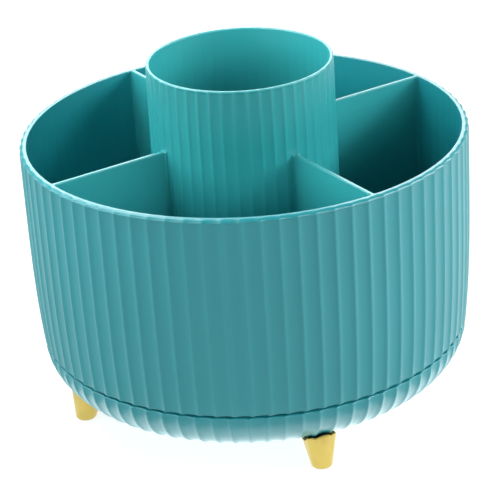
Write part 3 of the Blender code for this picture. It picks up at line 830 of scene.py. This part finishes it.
def tray_with_collars(mesh):
    low, high = TRAY_STANDOFF - COLLAR_DROP, COLLAR_TOP_Z
    collar = turned_mesh("collar", [(0, low), (COLLAR_RADIUS, low, FINE_EDGE),
                                    (COLLAR_RADIUS, high, FINE_EDGE), (0, high)], SMALL_SIDES)
    under, over, wide = low - BORE_OVER, high + BORE_OVER, STEM_RADIUS + FIT
    bore = turned_mesh("bore", [(0, under), (wide, under), (wide, SOCKET_TOP_Z), (FOOT_HOLE, SOCKET_TOP_Z),
                                (FOOT_HOLE, over), (0, over)], SMALL_SIDES)
    places = round_places(FOOT_CIRCLE, foot_angles)
    mesh = shaped(mesh, moved_copies("collars", collar, places), "UNION", "tray")
    return shaped(mesh, moved_copies("bores", bore, places), "DIFFERENCE", "tray")


# painted shade on the faces of the collars
def paint_shade_on_seats(mesh):
    """The collars show only in the shaded gap over the petals, so their faces get near black painted shade.
    """
    mesh.materials.append(SHADE_ON_SEATS)
    axes = [place.translation.xy for place in round_places(FOOT_CIRCLE, foot_angles)]
    for face in mesh.polygons:
        if min((face.center.xy - axis).length for axis in axes) < COLLAR_RADIUS + SEAT_SHADE_MARGIN:
            face.material_index = 1


ring = tray.data
bpy.data.objects.remove(tray)
tray = finished("tray", tray_with_collars(ring), TEAL)
# the collars' faces get painted shade
paint_shade_on_seats(tray.data)

# %% [markdown]
# ## The feet
#
# Each foot is a small gold cup of seven petals that opens towards the tray, like a flower, and leans
# outwards towards its sole. The petal tips follow the curved underside of the tray and stop just short
# of it, where the seat, painted near black as shade, shows as a thin dark line. Rings of points are drawn
# from the sole up to the tips and down again inside, to the upright stem that the screw pulls into the tray.

# %% One foot
PETALS = 7
PETAL_TURN = math.pi / PETALS
PETAL_ACROSS = 8
PETAL_GAP = 0.7 * MM
PETAL_NOTCH = 0.8 * MM
PETAL_DIP = 0.28 * MM
PETAL_WALL = 0.9 * MM
PETAL_BASE_Z = TRAY_STANDOFF - 2.0 * MM
NOTCH_POWER = 1.3
DIP_POWER = 1.5
FOOT_LEAN = 1.8 * MM
SOLE_RADIUS = 2.6 * MM
SOLE_EDGE = 1.2 * MM
FOOT_LOW_RADIUS = 4.0 * MM
FOOT_TOP_RADIUS = 6.1 * MM
PILOT_Z = foot_screw_low.z - FIT
FOOT_CREASE = math.radians(40)
SOLE_STEPS = 5
STEM_EDGE = 0.3 * MM
# rings below the cup's floor: height in mm, and share of the dips between petals
BODY_RINGS = ((2.5, 0.05), (4.5, 0.2), (6.5, 0.45), (8.2, 0.75))
PETAL_SHARES = (0.0, 0.35, 0.65, 0.85, 0.95)
# rings over the tip of a petal: inset, depth of the dips, and drop
TIP_RINGS = ((0.10 * MM, PETAL_DIP, 0.0), (0.30 * MM, 0.6 * PETAL_DIP, -0.08 * MM),
             (PETAL_WALL - 0.15 * MM, 0.0, 0.05 * MM), (PETAL_WALL, 0.0, 0.25 * MM))


def foot_radius(height):
    share = (height - SOLE_EDGE) / (TRAY_STANDOFF - SOLE_EDGE)
    return FOOT_LOW_RADIUS + (FOOT_TOP_RADIUS - FOOT_LOW_RADIUS) * share


def foot_point(radius, angle, height, lean=1.0):
    """A point of the foot on the X side of the tray; lean moves it outwards, most at the sole."""
    out = lean * FOOT_LEAN * (1.0 - height / TRAY_STANDOFF)
    return Vector((FOOT_CIRCLE + out + radius * math.cos(angle), radius * math.sin(angle), height))


foot_turns = [PETAL_TURN + math.tau * i / (PETALS * PETAL_ACROSS) for i in range(PETALS * PETAL_ACROSS)]


def petal_ring(inset, height=None, share=1.0, dip=0.0, drop=0.0):
    """A ring of the foot at a height, or at a share of the way from the cup's floor to the petal tips."""
    ring = []
    for i, angle in enumerate(foot_turns):
        nick = 1.0 - math.sin(math.pi * (i % PETAL_ACROSS) / PETAL_ACROSS)
        here = height
        if height is None:
            reach = foot_radius(TRAY_STANDOFF)
            from_axis = math.hypot(FOOT_CIRCLE + reach * math.cos(angle), reach * math.sin(angle))
            tip = tray_underside(from_axis) - PETAL_GAP - PETAL_NOTCH * nick ** NOTCH_POWER - drop
            here = PETAL_BASE_Z + share * (tip - PETAL_BASE_Z)
        ring.append(foot_point(foot_radius(here) - inset - dip * nick ** DIP_POWER, angle, here))
    return ring


def foot_circle(radius, height, lean=0.0):
    return [foot_point(radius, angle, height, lean) for angle in foot_turns]


def foot_mesh():
    """A foot with a petal that points outwards."""
    rings = [foot_circle(0.0, 0.0, 1.0)]
    for step in range(SOLE_STEPS + 1):
        bend = math.pi / 2 * step / SOLE_STEPS
        rings.append(foot_circle(SOLE_RADIUS + (foot_radius(SOLE_EDGE) - SOLE_RADIUS) * math.sin(bend),
                                 SOLE_EDGE * (1.0 - math.cos(bend)), 1.0))
    for height, dip in BODY_RINGS:
        rings.append(petal_ring(0.0, height * MM, dip=dip * PETAL_DIP))
    for share in PETAL_SHARES:
        rings.append(petal_ring(0.0, share=share, dip=PETAL_DIP))
    for inset, dip, drop in TIP_RINGS:
        rings.append(petal_ring(inset, dip=dip, drop=drop))
    rings.append(petal_ring(PETAL_WALL, share=0.1))
    rings.append(petal_ring(PETAL_WALL + STEM_EDGE, share=0.0))
    stem_top = SOCKET_TOP_Z - FIT
    for radius, height in ((STEM_RADIUS + STEM_EDGE, PETAL_BASE_Z), (STEM_RADIUS, PETAL_BASE_Z + STEM_EDGE),
                           (STEM_RADIUS, stem_top - STEM_EDGE), (STEM_RADIUS - STEM_EDGE, stem_top),
                           (FOOT_HOLE, stem_top), (FOOT_HOLE, PILOT_Z), (0.0, PILOT_Z)):
        rings.append(foot_circle(radius, height))
    bm = bmesh.new()
    loops = [[bm.verts.new(point) for point in ring] for ring in rings]
    for low, high in zip(loops, loops[1:]):
        band(bm, low, high)
    return mesh_of("foot", bm)


feet = repeated("petal_feet", foot_mesh(), FEET, GOLD, FOOT_TURN, crease=FOOT_CREASE)

# %% [markdown]
# ## Screws
#
# A screw holds each foot from inside the tray, and a larger one under the hub holds the tub down on a
# washer. All have a domed head with a cross recess. The recess is cut with a Boolean.

# %% Screw helper
THREAD_PITCH = 0.9 * MM
THREAD_DEPTH = 0.22 * MM
SCREW_SIDES = 28
THREAD_START = 1.0 * MM
THREAD_END = 0.5 * MM
THREAD_SLOPE = 0.45
POINT_LENGTH = 0.4 * MM
DOME_SHARE = 0.55
DOME_BEND = 1.2 * MM
HEAD_SIDE = 0.45
HEAD_FOOT_EDGE = 0.1 * MM
DRIVE_SHARE = 0.62
DRIVE_DEPTH = 0.8 * MM
DRIVE_HALF = 0.38 * MM
DRIVE_OVER = 0.5 * MM


def cross_cutter(reach, top, bottom):
    """A prism with the outline of a cross, narrower below, as the bit of a screwdriver is."""
    bm = bmesh.new()
    loops = []
    for height, share, half in ((bottom, 0.6, 0.8 * DRIVE_HALF), (top, 1.0, DRIVE_HALF)):
        loop = []
        for quarter in range(4):
            spin = Matrix.Rotation(quarter * math.pi / 2, 4, "Z")
            for x, y in ((share * reach, -half), (share * reach, half), (half, half)):
                loop.append(bm.verts.new(spin @ Vector((x, y, height))))
        loops.append(loop)
    lower, upper = loops
    bm.faces.new(lower[::-1])
    bm.faces.new(upper)
    band(bm, lower, upper)
    bmesh.ops.recalc_face_normals(bm, faces=bm.faces)
    return mesh_of("cross", bm)


def screw_mesh(name, shank, length, head, head_height):
    """Head up along +Z from the origin, shank below it."""
    corners = [(0, head_height), (head * DOME_SHARE, head_height, DOME_BEND),
               (head, head_height * HEAD_SIDE, SOFT_EDGE), (head, 0, HEAD_FOOT_EDGE),
               (shank, 0, HEAD_FOOT_EDGE)]
    for turn in range(int((length - THREAD_START - THREAD_END) / THREAD_PITCH)):
        start = -THREAD_START - turn * THREAD_PITCH
        corners += [(shank - THREAD_DEPTH, start), (shank, start - THREAD_SLOPE * THREAD_PITCH)]
    corners += [(shank - THREAD_DEPTH, -length + POINT_LENGTH), (0, -length)]
    body = turned_mesh(name, corners, SCREW_SIDES)
    cutter = cross_cutter(head * DRIVE_SHARE, head_height + DRIVE_OVER, head_height - DRIVE_DEPTH)
    return shaped(body, cutter, "DIFFERENCE", name)


print("screw helper ready")

# %% Foot screws
FOOT_SHANK, FOOT_HEAD = 1.2 * MM, 2.8 * MM
FOOT_HEAD_HEIGHT = 1.7 * MM
FOOT_HEAD_Z = foot_screw_high.z - FOOT_HEAD_HEIGHT

foot_screw = screw_mesh("foot_screw", FOOT_SHANK, FOOT_HEAD_Z - foot_screw_low.z, FOOT_HEAD, FOOT_HEAD_HEIGHT)
foot_screw.transform(Matrix.Translation((FOOT_CIRCLE, 0.0, FOOT_HEAD_Z)))
foot_screws = repeated("foot_screw_set", foot_screw, FEET, ZINC, FOOT_TURN)

# %% Pivot screw and washer
PIVOT_SHANK, PIVOT_HEAD = 1.6 * MM, 3.6 * MM
PIVOT_HEAD_HEIGHT = 1.8 * MM
WASHER_SIDES = 64
pivot_low, pivot_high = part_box("pivot_screw")
washer_low, washer_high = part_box("pivot_washer")
PIVOT_HEAD_Z = pivot_low.z + PIVOT_HEAD_HEIGHT

pivot = screw_mesh("pivot", PIVOT_SHANK, pivot_high.z - PIVOT_HEAD_Z, PIVOT_HEAD, PIVOT_HEAD_HEIGHT)
pivot.transform(Matrix.Translation((0.0, 0.0, PIVOT_HEAD_Z)) @ Matrix.Rotation(math.pi, 4, "X"))
pivot_screw = finished("pivot_screw_zinc", pivot, ZINC)

low, high, outer = washer_low.z, washer_high.z, washer_high.x
washer_corners = [(PIVOT_HOLE, low, HOLE_EDGE), (outer, low, SMALL_EDGE), (outer, high, SMALL_EDGE),
                  (PIVOT_HOLE, high, HOLE_EDGE)]
washer = finished("pivot_washer_zinc", turned_mesh("washer", washer_corners, WASHER_SIDES, closed=True), ZINC)

# %% [markdown]
# ## The bearing
#
# Two plastic rings with a groove hold twelve steel balls between them, and a flat cage keeps the balls
# apart. Nobody sees them, but a model that is taken apart should still be whole.

# %% Races
BALLS = 12
BALL_RADIUS = 2.5 * MM
BALL_CIRCLE = 40.0 * MM
GROOVE_RADIUS = BALL_RADIUS + FIT
GROOVE_DEPTH = 1.0 * MM
GROOVE_STEPS = 10
RACE_HALF = 4.5 * MM
ball_low, ball_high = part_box("ball_01")
BALL_Z = (ball_low.z + ball_high.z) / 2
RACE_SIDES = 96


def race_section(back, face):
    """Section of a race, with the groove open towards the face."""
    up = 1.0 if face > back else -1.0
    outer, inner = BALL_CIRCLE + RACE_HALF, BALL_CIRCLE - RACE_HALF
    corners = [(outer, back, SMALL_EDGE), (outer, face, SMALL_EDGE)]
    half = math.acos((GROOVE_RADIUS - GROOVE_DEPTH) / GROOVE_RADIUS)
    for step in range(GROOVE_STEPS + 1):
        turn = half * (1.0 - 2.0 * step / GROOVE_STEPS)
        depth = GROOVE_RADIUS * math.cos(turn) - (GROOVE_RADIUS - GROOVE_DEPTH)
        corners.append((BALL_CIRCLE + GROOVE_RADIUS * math.sin(turn), face - up * depth))
    return corners + [(inner, face, SMALL_EDGE), (inner, back, SMALL_EDGE)]


def race(name, back, face):
    return finished(name, turned_mesh(name, race_section(back, face), RACE_SIDES, closed=True), BEARING)


lower_race = race("lower_race_ring", lower_race_low.z, lower_race_high.z)
upper_race = race("upper_race_ring", race_high.z, race_low.z)

# %% Cage and balls
cage_low, cage_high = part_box("ball_cage")
CAGE_HALF = 3.8 * MM


def cage_mesh():
    inner, outer = BALL_CIRCLE - CAGE_HALF, BALL_CIRCLE + CAGE_HALF
    low, high = cage_low.z, cage_high.z
    flat = turned_mesh("cage", [(inner, low, FINE_EDGE), (outer, low, FINE_EDGE),
                                (outer, high, FINE_EDGE), (inner, high, FINE_EDGE)], RACE_SIDES, closed=True)
    under, over = low - BORE_OVER, high + BORE_OVER
    hole = turned_mesh("hole", [(0, under), (GROOVE_RADIUS, under), (GROOVE_RADIUS, over), (0, over)],
                       SMALL_SIDES)
    angles = [math.tau * i / BALLS for i in range(BALLS)]
    return shaped(flat, moved_copies("holes", hole, round_places(BALL_CIRCLE, angles)), "DIFFERENCE", "cage")


cage = finished("ball_cage_ring", cage_mesh(), BEARING)

bm = bmesh.new()
bmesh.ops.create_icosphere(bm, subdivisions=3, radius=BALL_RADIUS)
bmesh.ops.translate(bm, verts=bm.verts, vec=(BALL_CIRCLE, 0.0, BALL_Z))
balls = repeated("bearing_balls", mesh_of("ball", bm), BALLS, STEEL)

# %% [markdown]
# ## What moves with what
#
# Every piece rides on a body of the frame and stands for the solids that it replaces. The tub, cup,
# dividers, upper race and pivot turn, the tray and its feet stand still, and the balls with their cage
# follow at half the speed.

# %% Ride and replace


def numbered(stem, count, digits=1):
    return [f"{stem}_{i:0{digits}d}" for i in range(1, count + 1)]


RIDES = [
    (tub, "carousel", "teal_plastic", ["fluted_tub"]),
    (cup, "carousel", "teal_plastic", ["centre_cup"]),
    (dividers, "carousel", "teal_plastic", numbered("divider", DIVIDERS)),
    (upper_race, "carousel", "bearing_plastic", ["upper_race"]),
    (pivot_screw, "carousel", "zinc_screw", ["pivot_screw"]),
    (washer, "carousel", "zinc_screw", ["pivot_washer"]),
    (tray, "base", "teal_plastic", ["base_tray"]),
    (feet, "base", "gold_plating", numbered("foot", FEET)),
    (foot_screws, "base", "zinc_screw", numbered("foot_screw", FEET)),
    (lower_race, "base", "bearing_plastic", ["lower_race"]),
    (cage, "ball_carrier", "bearing_plastic", ["ball_cage"]),
    (balls, "ball_carrier", "ball_steel", numbered("ball", BALLS, 2)),
]
for piece, body, slot, nodes in RIDES:
    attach(piece, body)
    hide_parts(*nodes)
print("pieces:", len(RIDES), "nodes replaced:", sum(len(row[3]) for row in RIDES))

# %% [markdown]
# ## Floor and light
#
# The photograph was taken on bright white paper between low, wide soft boxes: a strong one on each side,
# weaker ones in front and behind, and hardly any light from above, so the compartments get dark towards
# their floors. A small head at the left and a spot above shine into the cup, and a lit table under the
# holder brightens the curve of the tray and the feet.
#
# The paper itself is grey and receives a faint shadow. The camera sees it as white because it glows for
# camera rays, and in gloss its glow fades from the right to the left of the picture.

# %% Floor
CAMERA_AZIMUTH = math.radians(-31.97)
FLOOR_RADIUS = 4.0
FLOOR_SIDES = 64
PAPER_GREY = (0.30, 0.30, 0.30, 1.0)
SEEN_GLOW = 0.85
GLOSS_GLOW_LEFT = 0.36
GLOSS_GLOW_RIGHT = 1.0


def bare_tree(owner, end):
    """The emptied node tree of a material or world: its end, Light Path, and a mask for gloss and glass."""
    owner.use_nodes = True
    tree = owner.node_tree
    tree.nodes.clear()
    out = node(tree, end)
    path = node(tree, "ShaderNodeLightPath")
    shine = node(tree, "ShaderNodeMath", operation="ADD", use_clamp=True)
    wire(tree, (path, "Is Glossy Ray", shine, 0), (path, "Is Transmission Ray", shine, 1))
    return tree, out, path, shine


def floor_material():
    """Paper that the camera sees as white, and gloss as white that fades to the left."""
    made = bpy.data.materials.new("white_paper")
    tree, out, path, shine = bare_tree(made, "ShaderNodeOutputMaterial")
    paper = node(tree, "ShaderNodeBsdfDiffuse", {"Color": PAPER_GREY})
    glow = node(tree, "ShaderNodeEmission")
    both = node(tree, "ShaderNodeAddShader")
    place = node(tree, "ShaderNodeTexCoord")
    outwards = node(tree, "ShaderNodeVectorMath", operation="NORMALIZE")
    right = (math.cos(CAMERA_AZIMUTH), math.sin(CAMERA_AZIMUTH), 0.0)
    to_right = node(tree, "ShaderNodeVectorMath", {1: right}, operation="DOT_PRODUCT")
    ends = {"From Min": -1.0, "To Min": GLOSS_GLOW_LEFT, "To Max": GLOSS_GLOW_RIGHT}
    side = node(tree, "ShaderNodeMapRange", ends)
    in_gloss = node(tree, "ShaderNodeMath", operation="MULTIPLY")
    strength = node(tree, "ShaderNodeMath", {1: SEEN_GLOW}, operation="MULTIPLY_ADD")
    wire(tree, (place, "Object", outwards, 0), (outwards, 0, to_right, 0), (to_right, "Value", side, "Value"),
         (shine, 0, in_gloss, 0), (side, "Result", in_gloss, 1), (path, "Is Camera Ray", strength, 0),
         (in_gloss, 0, strength, 2), (strength, 0, glow, "Strength"), (paper, 0, both, 0), (glow, 0, both, 1),
         (both, 0, out, "Surface"))
    return made


bm = bmesh.new()
bmesh.ops.create_circle(bm, cap_ends=True, segments=FLOOR_SIDES, radius=FLOOR_RADIUS)
floor_mesh = mesh_of("floor", bm)
floor_mesh.materials.append(floor_material())
floor = in_scene("floor", floor_mesh)
print("floor:", FLOOR_RADIUS * 2, "m across")

# %% World
WHITE = (1.0, 1.0, 1.0, 1.0)
TENT_LIGHT = 0.02
TENT_SHINE = 0.45


def light_tent():
    """A dim grey room, a little brighter in gloss, that the camera sees as plain white."""
    world = bpy.data.worlds.new("light_tent")
    tree, out, path, shine = bare_tree(world, "ShaderNodeOutputWorld")
    lit, mirrored, seen = (node(tree, "ShaderNodeBackground", {"Color": WHITE, "Strength": strength})
                           for strength in (TENT_LIGHT, TENT_SHINE, 1.0))
    first = node(tree, "ShaderNodeMixShader")
    second = node(tree, "ShaderNodeMixShader")
    wire(tree, (shine, 0, first, "Fac"), (lit, 0, first, 1), (mirrored, 0, first, 2),
         (path, "Is Camera Ray", second, "Fac"), (first, 0, second, 1), (seen, 0, second, 2),
         (second, 0, out, "Surface"))
    return world


scene.world = light_tent()
print("world:", scene.world.name)

# %% Lamps
TARGET = Vector((0.0, 0.0, 0.06))
# name, azimuth beside the camera's and elevation in degrees, distance, width and height in metres, watts
SOFT_BOXES = [
    ("right_box", 90, 20, 1.2, 1.0, 0.47, 11.6),
    ("left_box", -90, 17, 1.2, 1.0, 0.53, 6.7),
    ("front_right_box", 45, 22, 1.2, 1.0, 0.32, 6.0),
    ("front_left_box", -45, 18, 1.2, 1.0, 0.45, 4.9),
    ("back_box", 180, 32, 1.2, 1.0, 0.75, 10.8),
    ("left_head", -90, 60, 0.34, 0.22, 0.22, 1.0),
]
TABLE_RADIUS = 90.0 * MM
TABLE_LIFT = 0.5 * MM
TABLE_WATTS = 0.096
CUP_SPOT_Z = 0.45
CUP_SPOT_WATTS = 5.0
CUP_SPOT_CONE = math.radians(11)
CUP_SPOT_BLEND = 0.5
CUP_SPOT_SIZE = 10.0 * MM


def new_lamp(name, kind, power, place, **settings):
    """A lamp that the camera can't see."""
    data = bpy.data.lights.new(name, kind)
    data.energy = power
    for key, value in settings.items():
        setattr(data, key, value)
    lamp = in_scene(name, data)
    lamp.location = place
    lamp.visible_camera = False
    return lamp


for name, azimuth, elevation, distance, width, height, power in SOFT_BOXES:
    turn = CAMERA_AZIMUTH + math.radians(azimuth)
    rise = math.radians(elevation)
    back = Vector((math.sin(turn) * math.cos(rise), -math.cos(turn) * math.cos(rise), math.sin(rise)))
    box = new_lamp(name, "AREA", power, TARGET + back * distance, shape="RECTANGLE", size=width,
                   size_y=height)
    box.rotation_euler = back.to_track_quat("Z", "Y").to_euler()
table = new_lamp("light_table", "AREA", TABLE_WATTS, (0.0, 0.0, TABLE_LIFT), shape="DISK",
                 size=2 * TABLE_RADIUS)
table.rotation_euler = (math.pi, 0.0, 0.0)
new_lamp("cup_spot", "SPOT", CUP_SPOT_WATTS, (0.0, 0.0, CUP_SPOT_Z), spot_size=CUP_SPOT_CONE,
         spot_blend=CUP_SPOT_BLEND, shadow_soft_size=CUP_SPOT_SIZE)
print("lamps:", [light.name for light in bpy.data.lights])

# %% [markdown]
# ## Camera
#
# A long lens from 0.8 m away, looking down by 25 degrees. The camera is tilted a little, so that the
# holder leans in the picture as it does in the photograph.

# %% Camera
CAMERA_PLACE = Vector((-0.35999, -0.57610, 0.37525))
LOOK_DOWN = math.radians(25.30)
ROLL = math.radians(-3.5416)
SENSOR_WIDTH = 36.0
LENS = 147.52

data = bpy.data.cameras.new("camera")
data.sensor_width = SENSOR_WIDTH
data.lens = LENS
camera = in_scene("camera", data)
turn = Matrix.Rotation(CAMERA_AZIMUTH, 4, "Z") @ Matrix.Rotation(math.pi / 2 - LOOK_DOWN, 4, "X")
camera.matrix_world = Matrix.Translation(CAMERA_PLACE) @ turn @ Matrix.Rotation(ROLL, 4, "Z")
scene.camera = camera
scene.view_settings.view_transform = "Standard"
print("camera lens:", data.lens)
